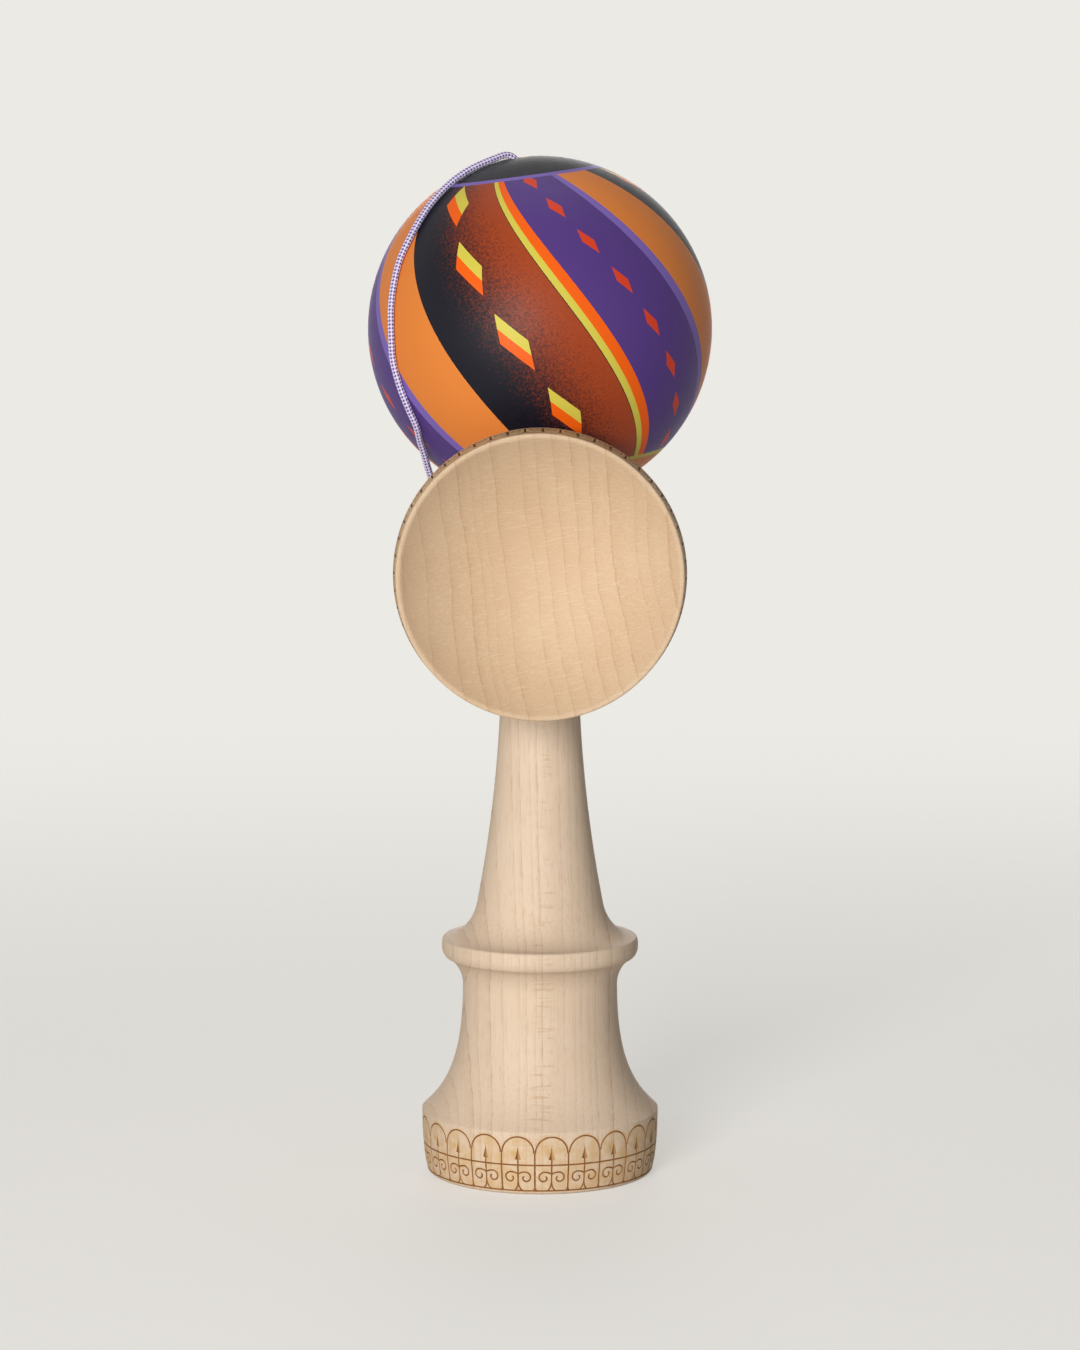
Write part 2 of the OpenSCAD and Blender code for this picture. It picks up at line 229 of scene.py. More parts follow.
def scroll_radius(u):
    """Radius of a scroll from its root, at 0, to its curled end, at 1."""
    flare = root_flare * max(0, 1 - u / root_share) ** 2
    return scroll_small + scroll_large * (1 - u) ** scroll_curl + flare


def railing_strokes(half):
    """Lines of one bay, in millimetres from its stem and above its foot."""
    strokes = [arc((0, spring_h), half - line_w / 2, 0, 180, 32),
               [(-half, rail_h), (half, rail_h)],
               [(-half, sill_h), (half, sill_h)],
               [(0, sill_h + stem_leg[1]), (0, head_wide)]]
    for side in (-1, 1):
        strokes.append([(side * half, sill_h), (side * half, spring_h)])
        scroll = []
        for i in range(scroll_points + 1):
            u = i / scroll_points
            turn = math.radians(scroll_from + scroll_sweep * u)
            scroll.append((side * (scroll_at[0] + scroll_radius(u) * math.cos(turn)),
                           scroll_at[1] + scroll_radius(u) * math.sin(turn)))
        strokes.append(scroll)
        for root, away, (leg_w, leg_h) in ((0, side, stem_leg), (side * half, -side, post_leg)):
            leg = [math.radians(90 * i / leg_steps) for i in range(leg_steps + 1)]
            strokes.append([(root + away * leg_w * (1 - math.cos(a)), sill_h + leg_h * (1 - math.sin(a)))
                            for a in leg])
    return strokes


def ribbon(line, width):
    """Outline of a stroke of some width along a line."""
    right, left = [], []
    for i, spot in enumerate(line):
        ahead = Vector(line[min(i + 1, len(line) - 1)]) - Vector(line[max(i - 1, 0)])
        side = Vector((ahead.y, -ahead.x)).normalized() * width / 2
        right.append(Vector(spot) + side)
        left.append(Vector(spot) - side)
    return right + left[::-1]


def railing_bay(name, wall, bays, columns, foot_z, tall, stroke_w, deep):
    """One bay of the railing as a sunk piece of a turned wall, with its stem at angle 0. tall and deep
    multiply its height and its burn."""
    reach = max(r for r, z in wall)
    half = math.pi * reach / bays
    low, high = band_low * tall, band_high * tall
    across = [half * (2 * i / columns - 1) for i in range(columns + 1)]
    count = round((high - low) / row_h)
    rows = [low + (high - low) * i / count for i in range(count + 1)]
    edge = ([(s, low) for s in across] + [(half, h) for h in rows[1:-1]]
            + [(s, high) for s in across[::-1]] + [(-half, h) for h in rows[-2:0:-1]])
    points = [Vector(p) for p in edge]
    outlines = [list(range(len(edge)))]
    points += [Vector((s, h)) for s in across[1:-1] for h in rows[1:-1]]
    burns = {}

    def mark(outline, burn):
        """Adds an outline, put on the grid and kept inside the bay, with how much it is burnt."""
        fine = round(half / grid)
        inside = []
        for s, h in outline:
            s = half * min(1, max(-1, round(s / half * fine) / fine))
            inside.append(Vector((s, round(h / grid) * grid * tall)))
        burns[len(outlines)] = burn
        outlines.append(list(range(len(points), len(points) + len(inside))))
        points.extend(inside)

    for stroke in railing_strokes(half):
        mark(ribbon(stroke, stroke_w), slope_burn)
        mark(ribbon(stroke, stroke_w * floor_share), floor_burn)
    for side, burn in ((-1, floor_burn), (1, light_burn)):
        head = [(0, head_foot)] + [(side * s, h) for s, h in head_half] + [(0, head_tip)]
        mark(head[::side], burn)

    flat, _, faces, _, _, sources = delaunay_2d_cdt(points, [], outlines, 1, grid / 10, True)
    burnt = [max((burns[i] for i in ids if i in burns), default=0) for ids in sources]
    sunk = {v for face, burn in zip(faces, burnt) if burn == floor_burn for v in face}
    bent = []
    for i, spot in enumerate(flat):
        radius = at_height(wall, foot_z + spot.y)[0] - (groove_depth * tall if i in sunk else 0)
        turn = spot.x / reach
        bent.append(Vector((radius * math.cos(turn), radius * math.sin(turn), foot_z + spot.y)) * mm)
    bay = new_piece(name, bent, faces)
    bay.data.attributes.new("burnt", "FLOAT", "FACE").data.foreach_set("value", [b * deep for b in burnt])
    toast = []
    for s, h in flat:
        h /= tall
        under_arch = math.hypot(s, max(0, h - spring_h)) < half + line_w / 2 and h > sill_h
        spots = [share * math.exp(-((s - at_s) / w) ** 2 - ((h - at_h) / w_up) ** 2)
                 for share, at_s, at_h, w, w_up in toast_spots]
        toast.append(max(toast_all if under_arch else 0, sum(spots)))
    bay.data.attributes.new("toast", "FLOAT", "POINT").data.foreach_set("value", toast)
    return bay


def add(tree, kind, inputs=(), output=0, **settings):
    """Adds a node with its settings, fills or links its inputs, and gives back one output or the node.
    A kind without the word Node in it is a shader's."""
    node = tree.nodes.new(kind if "Node" in kind else "ShaderNode" + kind)
    for name, value in settings.items():
        setattr(node, name, value)
    for name, value in (inputs.items() if isinstance(inputs, dict) else enumerate(inputs)):
        for item in value if isinstance(value, list) else [value]:
            if isinstance(item, bpy.types.NodeSocket):
                tree.links.new(item, node.inputs[name])
            elif item is not None:
                node.inputs[name].default_value = item
    return node if output is None else node.outputs[output]


def new_material(name):
    """A material, its node tree and its shader."""
    material = bpy.data.materials.new(name)
    material.use_nodes = True
    return material, material.node_tree, material.node_tree.nodes["Principled BSDF"]


railing_tree = bpy.data.node_groups.new("burnt_railing", "GeometryNodeTree")
railing_inputs = {}
for label, socket in (("Body", "Geometry"), ("Bay", "Object"), ("Bays", "Int"), ("First stem", "Float"),
                      ("Bare", "Material"), ("Burnt", "Material")):
    made = railing_tree.interface.new_socket(label, in_out="INPUT", socket_type="NodeSocket" + socket)
    railing_inputs[label] = made.identifier
railing_tree.interface.new_socket("Body", in_out="OUTPUT", socket_type="NodeSocketGeometry")
given = add(railing_tree, "NodeGroupInput", output=None).outputs
places = add(railing_tree, "GeometryNodePoints", {"Count": given["Bays"]})
number = add(railing_tree, "GeometryNodeInputIndex")
share = add(railing_tree, "Math", [number, given["Bays"]], operation="DIVIDE")
angle = add(railing_tree, "Math", [share, 2 * math.pi, given["First stem"]], operation="MULTIPLY_ADD")
turn = add(railing_tree, "CombineXYZ", {"Z": angle})
turn = add(railing_tree, "FunctionNodeEulerToRotation", [turn])
bay_shape = add(railing_tree, "GeometryNodeObjectInfo", {"Object": given["Bay"]}, "Geometry")
copies = add(railing_tree, "GeometryNodeInstanceOnPoints",
             {"Points": places, "Instance": bay_shape, "Rotation": turn})
ring = add(railing_tree, "GeometryNodeRealizeInstances", {"Geometry": copies})
whole = add(railing_tree, "GeometryNodeJoinGeometry", {"Geometry": [given["Body"], ring]})
whole = add(railing_tree, "GeometryNodeMergeByDistance", {"Geometry": whole, "Distance": weld * mm})
burnt_faces = add(railing_tree, "GeometryNodeInputNamedAttribute", {"Name": "burnt"}, "Attribute")
burnt_faces = add(railing_tree, "Math", [burnt_faces, any_burn], operation="GREATER_THAN")
whole = add(railing_tree, "GeometryNodeSetMaterial", {"Geometry": whole, "Material": given["Bare"]})
whole = add(railing_tree, "GeometryNodeSetMaterial",
            {"Geometry": whole, "Selection": burnt_faces, "Material": given["Burnt"]})
add(railing_tree, "NodeGroupOutput", [whole], None)


def engrave(piece, bay, bays, first_stem, bare, burnt):
    """Sets a ring of railing bays into a turned piece's open wall."""
    modifier = piece.modifiers.new("railing", "NODES")
    modifier.node_group = railing_tree
    for label, value in (("Bay", bay), ("Bays", bays), ("First stem", math.radians(first_stem)),
                         ("Bare", bare), ("Burnt", burnt)):
        modifier[railing_inputs[label]] = value
    settle(piece)
    bpy.data.objects.remove(bay)


def linear(hex_colour):
    """Linear colour from an sRGB hex value."""
    parts = [int(hex_colour[i:i + 2], 16) / 255 for i in (1, 3, 5)]
    return tuple(p / 12.92 if p <= 0.04045 else ((p + 0.055) / 1.055) ** 2.4 for p in parts) + (1,)


def maple(name, tones, turn, pith, ring, sway, dash_l, line_share, ray_size, ray_share, ray_column):
    """Hard maple, sanded and bare: year rings about a pith outside the piece, fibres, and rays across rings.
    turn brings the fibres to Z, and sizes are in millimetres. ray_size is along a ray, round the pith and
    along the fibres. ray_column is the sine of how far a side may turn from the rays and still show them."""
    # Waves in a millimetre, twice across the fibres and then along them; blotches are the same all ways
    slow_waves, near_waves, dash_waves = (0.03, 0.03, 0.006), (0.5, 0.5, 0.08), (0.5, 0.5, 1 / dash_l)
    fibre_waves, blotch_waves = (3.2, 3.2, 0.12), 0.07
    wobble_size, uneven_waves, uneven_years = 0.6, 0.37, 1.8
    pale, warm, late, ray_tone = (linear(tone) for tone in tones)
    material, tree, shader = new_material(name)
    spot = add(tree, "TexCoord", output="Object")
    wood = add(tree, "Mapping",
               {"Vector": spot, "Rotation": turn, "Scale": (1 / mm,) * 3,
                "Location": (-pith[0], -pith[1], 0)})
    x, y, z = add(tree, "SeparateXYZ", [wood], None).outputs
    section = add(tree, "VectorMath", [wood, (1, 1, 0)], operation="MULTIPLY")
    radius = add(tree, "VectorMath", [section], "Value", operation="LENGTH")

    # Year rings: bent slowly, with a small wobble and uneven widths, each darkest at its end
    slow = add(tree, "VectorMath", [wood, slow_waves], operation="MULTIPLY")
    bend = add(tree, "TexNoise", {"Vector": slow, "Scale": 1, "Detail": 2})
    bent = add(tree, "Math", [bend, sway, radius], operation="MULTIPLY_ADD")
    near = add(tree, "VectorMath", [wood, near_waves], operation="MULTIPLY")
    wobble = add(tree, "TexNoise", {"Vector": near, "Scale": 1, "Detail": 2})
    bent = add(tree, "Math", [wobble, wobble_size, bent], operation="MULTIPLY_ADD")
    year = add(tree, "Math", [bent, ring], operation="DIVIDE")
    uneven = add(tree, "TexNoise", {"W": year, "Scale": uneven_waves, "Detail": 1}, noise_dimensions="1D")
    year = add(tree, "Math", [uneven, uneven_years, year], operation="MULTIPLY_ADD")
    season = add(tree, "Math", [year], operation="FRACT")
    late_wood = add(tree, "ValToRGB", [season], None)
    late_wood.color_ramp.elements[1].color = (0, 0, 0, 1)
    for place, share in ((0.45, 0.04), (0.9, 0.34), (0.95, 1)):
        late_wood.color_ramp.elements.new(place).color = (share, share, share, 1)
    # Some years' lines are stronger than others, and each is broken up along the fibres
    number = add(tree, "Math", [year], operation="FLOOR")
    strength = add(tree, "TexWhiteNoise", {"W": number}, noise_dimensions="1D")
    strength = add(tree, "MapRange", {"Value": strength, "To Min": 0.3})
    line = add(tree, "Math", [late_wood.outputs["Color"], strength], operation="MULTIPLY")
    dash = add(tree, "VectorMath", [wood, dash_waves], operation="MULTIPLY")
    dash = add(tree, "TexNoise", {"Vector": dash, "Scale": 1, "Detail": 2})
    dash = add(tree, "MapRange",
               {"Value": dash, "From Min": 0.36, "From Max": 0.62, "To Min": 0.3, "To Max": line_share})
    line = add(tree, "Math", [line, dash], operation="MULTIPLY")

    # The lines lie on a ground between two pale tones
    blotch = add(tree, "TexNoise", {"Vector": wood, "Scale": blotch_waves, "Detail": 3})
    tone = add(tree, "Mix", {"Factor": blotch, 6: pale, 7: warm}, 2, data_type="RGBA")
    tone = add(tree, "Mix", {"Factor": line, 6: tone, 7: late}, 2, data_type="RGBA")

    # Fibres: very fine streaks, far longer than they are wide
    fine = add(tree, "VectorMath", [wood, fibre_waves], operation="MULTIPLY")
    fibre = add(tree, "TexNoise", {"Vector": fine, "Scale": 1, "Detail": 3})
    streak = add(tree, "MapRange", {"Value": fibre, "From Min": 0.5, "From Max": 0.75, "To Max": 0.22})
    tone = add(tree, "Mix", {"Factor": streak, 6: tone, 7: late}, 2, data_type="RGBA")

    # Rays: short flecks across the rings, seen where the side is cut along them
    round_pith = add(tree, "Math", [y, x], operation="ARCTAN2")
    across = add(tree, "CombineXYZ", [radius, round_pith, z])
    across = add(tree, "VectorMath",
                 [across, (1 / ray_size[0], math.hypot(*pith) / ray_size[1], 1 / ray_size[2])],
                 operation="MULTIPLY")
    ray = add(tree, "TexNoise", {"Vector": across, "Scale": 1, "Detail": 2, "Roughness": 0.75})
    ray = add(tree, "MapRange", {"Value": ray, "From Min": 0.54, "From Max": 0.66, "To Max": ray_share})
    out = add(tree, "VectorMath", [spot, (1, 1, 0)], operation="MULTIPLY")
    out = add(tree, "VectorMath", [out], operation="NORMALIZE")
    ray_way = add(tree, "VectorMath", [section], operation="NORMALIZE")
    turned_off = add(tree, "VectorMath", [out, ray_way], "Value", operation="DOT_PRODUCT")
    turned_off = add(tree, "Math", [turned_off], operation="ABSOLUTE")
    shown = add(tree, "MapRange",
                {"Value": turned_off, "From Min": ray_column, "From Max": 2 * ray_column,
                 "To Min": 1, "To Max": 0})
    ray = add(tree, "Math", [ray, shown], operation="MULTIPLY")
    tone = add(tree, "Mix", {"Factor": ray, 6: tone, 7: ray_tone}, 2, data_type="RGBA")

    # Toast beside the burnt lines, golden brown and in uneven patches
    toast = add(tree, "Attribute", output="Fac", attribute_name="toast")
    patch = add(tree, "TexNoise", {"Vector": wood, "Scale": 1 / toast_patch, "Detail": 2})
    patch = add(tree, "MapRange", {"Value": patch, "From Min": 0.35, "From Max": 0.65, "To Min": 0.2})
    toasted = add(tree, "Math", [toast, patch], operation="MULTIPLY")
    tone = add(tree, "Mix", {"Factor": toasted, 6: tone, 7: linear("#CF9F4E")}, 2, data_type="RGBA")
    tree.links.new(tone, shader.inputs["Base Color"])

    # Sanded and bare, it is dull, with only a faint sheen, and its fibres hardly stand out
    gloss = add(tree, "MapRange", {"Value": fibre, "To Min": 0.5, "To Max": 0.66})
    tree.links.new(gloss, shader.inputs["Roughness"])
    relief = add(tree, "Bump", {"Height": fibre, "Strength": 0.25, "Distance": 0.02 * mm})
    tree.links.new(relief, shader.inputs["Normal"])
    shader.inputs["IOR"].default_value = 1.45
    shader.inputs["Specular IOR Level"].default_value = 0.3
    return material


# Bare quarter-sawn maple: a dull pale pinkish beige, with thin broken lines up the handle
# and a ladder of rays in front.
handle_maple = maple("handle_maple", ("#EAD4BB", "#DEC4A8", "#B08560", "#C0936A"),
                     turn=(0, 0, 0), pith=(-67, -17.2), ring=1.9, sway=3, dash_l=2, line_share=0.8,
                     ray_size=(8, 0.8, 0.8), ray_share=0.36, ray_column=0.08)

# Maple browned by the burner: matt, darkest in the middle of a line and paler where it only passed over.
char_patch, char_share = 0.9, 0.6
burnt_maple, burnt_tree, burnt_shader = new_material("burnt_maple")
burnt_spot = add(burnt_tree, "TexCoord", output="Object")
char = add(burnt_tree, "TexNoise", {"Vector": burnt_spot, "Scale": 1 / (char_patch * mm), "Detail": 2})
burn = add(burnt_tree, "Attribute", output="Fac", attribute_name="burnt")
char = add(burnt_tree, "Math", [char, char_share, burn], operation="MULTIPLY_ADD")
char = add(burnt_tree, "MapRange", {"Value": char, "From Min": 0.45, "From Max": 2.2})
burnt_tone = add(burnt_tree, "ValToRGB", [char], None)
burnt_tone.color_ramp.elements[0].color = linear("#C29662")
burnt_tone.color_ramp.elements[1].color = linear("#4E2E1C")
burnt_tone.color_ramp.elements.new(0.52).color = linear("#855528")
burnt_tree.links.new(burnt_tone.outputs["Color"], burnt_shader.inputs["Base Color"])
burnt_shader.inputs["Roughness"].default_value = 0.8
burnt_shader.inputs["Specular IOR Level"].default_value = 0.2

base_bay = railing_bay("base_bay", base_wall, bays_round_base, bay_columns,
                       foot_z=0, tall=1, stroke_w=line_w, deep=1)
engrave(ken, base_bay, bays_round_base, first_post - 90 + 180 / bays_round_base, handle_maple, burnt_maple)
smoothed(ken)
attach(ken, "ken")
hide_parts("ken")

# Cross-piece (sarado): one billet of hard maple, with its fibres running from cup to cup.
# Turned with a cup at each end, then bored across for the handle's tapered seat and drilled for the string.
# Each cup's wall has the same burnt railing, lower, standing on the flare with its arches to the lip.
cup_face = -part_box("sarado")[0].y / mm
big_cup_r, small_cup_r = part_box("sarado")[1].x / mm, 21
waist_r, saddle = 11.8, (12.35, 13)
waist_pulls, cup_pulls = ((0, 6.5), (-0.33, -3.25)), ((0.85, 5), (-6.1, -3.5))
cup_wall_l, wall_taper, cup_edge, lip_w, lip_ease = 5.5, 0.55, 0.3, 0.45, 0.35
cup_corner = (1.3, 0.2)
big_bowl_r, small_bowl_r = 32, 30
bore_low_r, bore_high_r, bore_half = 7, 6.8, 13.3
side_ease = 2
railing_l, railing_tall = 5.35, 0.43
railing_foot = cup_face - railing_l
cup_band = [railing_foot + railing_tall * h for h in (band_low, band_high)]
# Bays and their columns of faces, which give both cups the same number of sides, and the first stem's angle
bays_round_big, bays_round_small = 26, 22
columns_big, columns_small = 11, 13
big_cup_stem = 88.9
# Lines wider and browner than the base cup's, so that so low a railing shows
cup_line_w, cup_burn = 0.42, 2.2


def cup_wall(cup_r):
    """A cup's outer wall, a little narrower towards the face, and its rounded edge."""
    edge = arc((cup_r - wall_taper - cup_edge, cup_face - cup_edge), cup_edge, 0, 90, 8)
    return [(cup_r, cup_face - cup_wall_l)] + edge


def cup_outline(cup_r, bowl_r):
    """From the middle of the waist out along the flare, over the lip and in to the middle of the bowl."""
    wall = cup_wall(cup_r)
    flare_end = (cup_r - cup_corner[0], wall[0][1] - cup_corner[1])
    rim_r = cup_r - wall_taper - cup_edge - lip_w
    bowl_z = cup_face + math.sqrt(bowl_r ** 2 - rim_r ** 2)
    bowl = arc((0, bowl_z), bowl_r, -math.degrees(math.acos((rim_r - lip_ease) / bowl_r)), -90, 28)[:-1]
    lip = (rim_r + lip_ease, cup_face)
    eased = drawn(lip, ((-lip_ease, 0), (lip_ease / 2, (cup_face - bowl[0][1]) / 2)), bowl[0], 6)[:-1]
    return ([(waist_r, 0)]
            + drawn((waist_r, 0), waist_pulls, saddle, 16)
            + drawn(saddle, cup_pulls, flare_end, 28)
            + wall[:1] + [at_height(wall, z) for z in cup_band]
            + [p for p in wall if p[1] > cup_band[1]]
            + [lip] + eased + bowl + [(0, bowl_z - bowl_r)])


big_half = cup_outline(big_cup_r, big_bowl_r)
small_half = [(r, -z) for r, z in cup_outline(small_cup_r, small_bowl_r)[:0:-1]]
facing = Matrix.Translation((0, 0, sarado_z * mm)) @ Matrix.Rotation(math.pi / 2, 4, "X")
sarado = turned("sarado_turned", small_half + big_half, bays_round_big * columns_big,
                big_cup_stem - 180 / bays_round_big)
unturned = facing.inverted()
outside = -waist_r - overshoot
drilled(sarado, [
    drill_bit("seat_bore", (bore_low_r, bore_high_r), sarado_z - bore_half, sarado_z + bore_half, unturned),
    drill_bit("string_drill", cross_hole_r, outside, overshoot - bore_high_r, unturned @ along_x),
    drill_bit("string_ease", (cross_hole_r + side_ease, cross_hole_r), outside, outside + side_ease,
              unturned @ along_x)])
opened(sarado, *cup_band)
opened(sarado, -cup_band[1], -cup_band[0])
# The same maple cut across its fibres: a warmer face with soft year lines and very fine rays across them.
cup_maple = maple("cup_maple", ("#DFC4A3", "#D2B08C", "#AC7850", "#EBD8BA"),
                  turn=(math.radians(90), 0, math.pi), pith=(-260, 150), ring=3, sway=5, dash_l=6,
                  line_share=0.55, ray_size=(4, 0.3, 0.8), ray_share=0.28, ray_column=1)
big_bay = railing_bay("big_cup_bay", cup_wall(big_cup_r), bays_round_big, columns_big,
                      railing_foot, railing_tall, cup_line_w, cup_burn)
small_bay = railing_bay("small_cup_bay", cup_wall(small_cup_r), bays_round_small, columns_small,
                        railing_foot, railing_tall, cup_line_w, cup_burn)
small_bay.data.transform(Matrix.Rotation(math.pi, 4, "X"))
engrave(sarado, big_bay, bays_round_big, big_cup_stem, cup_maple, burnt_maple)
engrave(sarado, small_bay, bays_round_small, big_cup_stem, cup_maple, burnt_maple)
sarado.data.transform(facing)
smoothed(sarado)
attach(sarado, "sarado")
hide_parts("sarado")

# Ball (tama): a turned wooden ball, bored for the spike and drilled at its top for the string.
# Sprayed in satin paint through stencils: three pairs of swirling gores with a row of lozenges on each.
# The bore and its bevelled mouth are left as bare wood.
tama_r, tama_tilt = 30, math.radians(7.5)
tama_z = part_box("tama")[1].z / mm - tama_r
tama_hole_r, mouth_r, hole_end = 11, 13, 20
string_hole_r, pole_r, pole_ease_h, hole_ease = 1.25, 2.75, 2, 1
tama_sides, tama_rows = 192, 96
in_ball = Matrix.Translation((0, 0, tama_z * mm)) @ Matrix.Rotation(-tama_tilt, 4, "Y")
mouth_angle = -math.degrees(math.acos(mouth_r / tama_r))
pole_angle = math.degrees(math.acos(pole_r / tama_r))
painted = arc((0, 0), tama_r, mouth_angle, pole_angle, tama_rows)
mouth_z = painted[0][1]
tama_outline = painted + [
    (string_hole_r, tama_r - pole_ease_h), (string_hole_r, hole_end + hole_ease),
    (string_hole_r + hole_ease, hole_end), (tama_hole_r, hole_end),
    (tama_hole_r, mouth_z + mouth_r - tama_hole_r), painted[0]]
tama = turned("tama_painted", tama_outline, tama_sides, place=in_ball)

# Satin paint, sprayed: strong flat colours with hard stencilled edges, one gore fading in a fine mist,
# and a soft wide highlight on a skin just short of smooth.
paint, tree, shader = new_material("satin_paint")
spray_dot, mist_share, peel_size = 0.35, 0.9, 1.3
gore_pairs, swirl = 3, 0.55
fade_start, fade_end = 0.05, 0.38
navy, rust, purple, lavender = "#14141E", "#A4441F", "#54397F", "#8068B8"
orange, yellow, bright_orange, red_orange = "#E8873C", "#DACB4F", "#F8640F", "#DA4424"
spot = add(tree, "TexCoord", output="Object")
spot = add(tree, "Mapping",
           {"Vector": spot, "Location": (0, 0, tama_z * mm), "Rotation": (0, -tama_tilt, 0)},
           vector_type="TEXTURE")
way = add(tree, "VectorMath", [spot], operation="NORMALIZE")
x, y, z = add(tree, "SeparateXYZ", [way], None).outputs
round_ball = add(tree, "Math", [y, x], operation="ARCTAN2")
up_ball = add(tree, "Math", [z], operation="ARCSINE")
width = add(tree, "Math", [up_ball], operation="COSINE")
swirled = add(tree, "Math", [up_ball, swirl, round_ball], operation="MULTIPLY_ADD")
gore = add(tree, "Math", [swirled, gore_pairs / (2 * math.pi)], operation="MULTIPLY")
gore = add(tree, "Math", [gore], operation="FRACT")
stencil = add(tree, "ValToRGB", [gore], None)
stencil.color_ramp.interpolation = "CONSTANT"
stencil.color_ramp.elements[0].color = linear(navy)
stencil.color_ramp.elements[1].position = fade_end
stencil.color_ramp.elements[1].color = linear(yellow)
for place, colour in ((0.405, bright_orange), (0.44, purple), (0.72, lavender),
                      (0.755, orange), (0.975, navy)):
    stencil.color_ramp.elements.new(place).color = linear(colour)
colour = stencil.outputs["Color"]

# The dark gore fades to rust through a mist of spray
grain = add(tree, "TexNoise", {"Vector": spot, "Scale": 1 / (spray_dot * mm), "Detail": 1})
fade = add(tree, "MapRange", {"Value": gore, "From Min": fade_start, "From Max": fade_end})
mist = add(tree, "Math", [grain, -0.5], operation="ADD")
fade = add(tree, "Math", [mist, mist_share, fade], operation="MULTIPLY_ADD")
fade = add(tree, "MapRange", {"Value": fade, "From Min": 0.1}, interpolation_type="SMOOTHSTEP")
faded = add(tree, "Mix", {"Factor": fade, 6: linear(navy), 7: linear(rust)}, 2, data_type="RGBA")
on_fade = add(tree, "Math", [gore, fade_end], operation="LESS_THAN")
colour = add(tree, "Mix", {"Factor": on_fade, 6: colour, 7: faded}, 2, data_type="RGBA")

# Lozenges down the middle of each gore: their spacing is in degrees, half width and length in millimetres
for middle, spacing, half_w, half_l, tint, tip_tint in (
        (0.18, 26, 2.4, 5.2, yellow, bright_orange), (0.58, 15, 1.1, 2.6, red_orange, red_orange)):
    off = add(tree, "Math", [gore, -middle], operation="ADD")
    off = add(tree, "Math", [off, width], operation="MULTIPLY")
    gore_mm = 2 * math.pi * tama_r / gore_pairs
    aside = add(tree, "Math", [off, gore_mm / half_w], operation="MULTIPLY")
    aside_size = add(tree, "Math", [aside], operation="ABSOLUTE")
    step = add(tree, "Math", [up_ball, 1 / math.radians(spacing), 0.5], operation="MULTIPLY_ADD")
    step = add(tree, "Math", [step], operation="FRACT")
    step = add(tree, "Math", [step, -0.5], operation="ADD")
    ahead = add(tree, "Math", [step, math.radians(spacing) * tama_r / half_l], operation="MULTIPLY")
    ahead_size = add(tree, "Math", [ahead], operation="ABSOLUTE")
    reach = add(tree, "Math", [aside_size, ahead_size], operation="ADD")
    inside = add(tree, "Math", [reach, 1], operation="LESS_THAN")
    lean = add(tree, "Math", [aside, ahead], operation="ADD")
    lower = add(tree, "Math", [lean, 0], operation="LESS_THAN")
    lozenge = add(tree, "Mix", {"Factor": lower, 6: linear(tint), 7: linear(tip_tint)}, 2, data_type="RGBA")
    colour = add(tree, "Mix", {"Factor": inside, 6: colour, 7: lozenge}, 2, data_type="RGBA")

# A cap round the string hole and a ring round the mouth, each with a thin line along its edge
for level, rule, tint in ((62, "GREATER_THAN", lavender), (64, "GREATER_THAN", navy),
                          (-50, "LESS_THAN", yellow), (-52, "LESS_THAN", orange)):
    beyond = add(tree, "Math", [up_ball, math.radians(level)], operation=rule)
    colour = add(tree, "Mix", {"Factor": beyond, 6: colour, 7: linear(tint)}, 2, data_type="RGBA")
tree.links.new(colour, shader.inputs["Base Color"])
peel = add(tree, "TexNoise", {"Vector": spot, "Scale": 1 / (peel_size * mm), "Detail": 2})
satin = add(tree, "MapRange", {"Value": peel, "To Min": 0.42, "To Max": 0.54})
tree.links.new(satin, shader.inputs["Roughness"])
skin = add(tree, "Bump", {"Height": peel, "Strength": 0.08, "Distance": 0.03 * mm})
tree.links.new(skin, shader.inputs["Normal"])
shader.inputs["Specular IOR Level"].default_value = 0.18

tama.data.materials.append(paint)
tama.data.materials.append(handle_maple)
painted_faces = tama_rows * tama_sides
tama.data.polygons.foreach_set(
    "material_index", [0 if i < painted_faces else 1 for i in range(len(tama.data.polygons))])
smoothed(tama)
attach(tama, "tama")
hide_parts("tama")

# Bead: a small round bead of ivory plastic inside the ball, moulded in one piece.
# The string runs through it and is knotted below it, so that the ball can spin on the string.
# It hangs under the wound slack, just above the tip of the spike.
string_r, string_gap, knot_gap = 0.6, 0.25, 0.1
layer_step = 1.75
layer_1 = hole_end - string_r - string_gap
layer_2 = layer_1 - layer_step
bend_r = 2.4
bead_r, bead_hole_r = 3, 0.85
bead_rows, bead_sides = 40, 64
bead_top = layer_2 - bend_r
bead_z = bead_top - bead_r
knot_top = bead_top - 2 * bead_r - knot_gap
bead_angle = math.degrees(math.acos(bead_hole_r / bead_r))
bead_skin = arc((0, bead_z), bead_r, -bead_angle, bead_angle, bead_rows)
bead = turned("bead_moulded", bead_skin + [bead_skin[0]], bead_sides, place=in_ball)
# Ivory plastic: opaque cream, faintly cloudy, with a soft gloss.
cloud_size = 2.5
ivory, ivory_tree, ivory_shader = new_material("ivory_plastic")
spot = add(ivory_tree, "TexCoord", output="Object")
cloud = add(ivory_tree, "TexNoise", {"Vector": spot, "Scale": 1 / (cloud_size * mm), "Detail": 3})
cream = add(ivory_tree, "Mix",
            {"Factor": cloud, 6: linear("#EDE8DC"), 7: linear("#DDD5C4")}, 2, data_type="RGBA")
ivory_tree.links.new(cream, ivory_shader.inputs["Base Color"])
ivory_shader.inputs["Roughness"].default_value = 0.35
bead.data.materials.append(ivory)
smoothed(bead)
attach(bead, "bead")
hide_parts("bead")

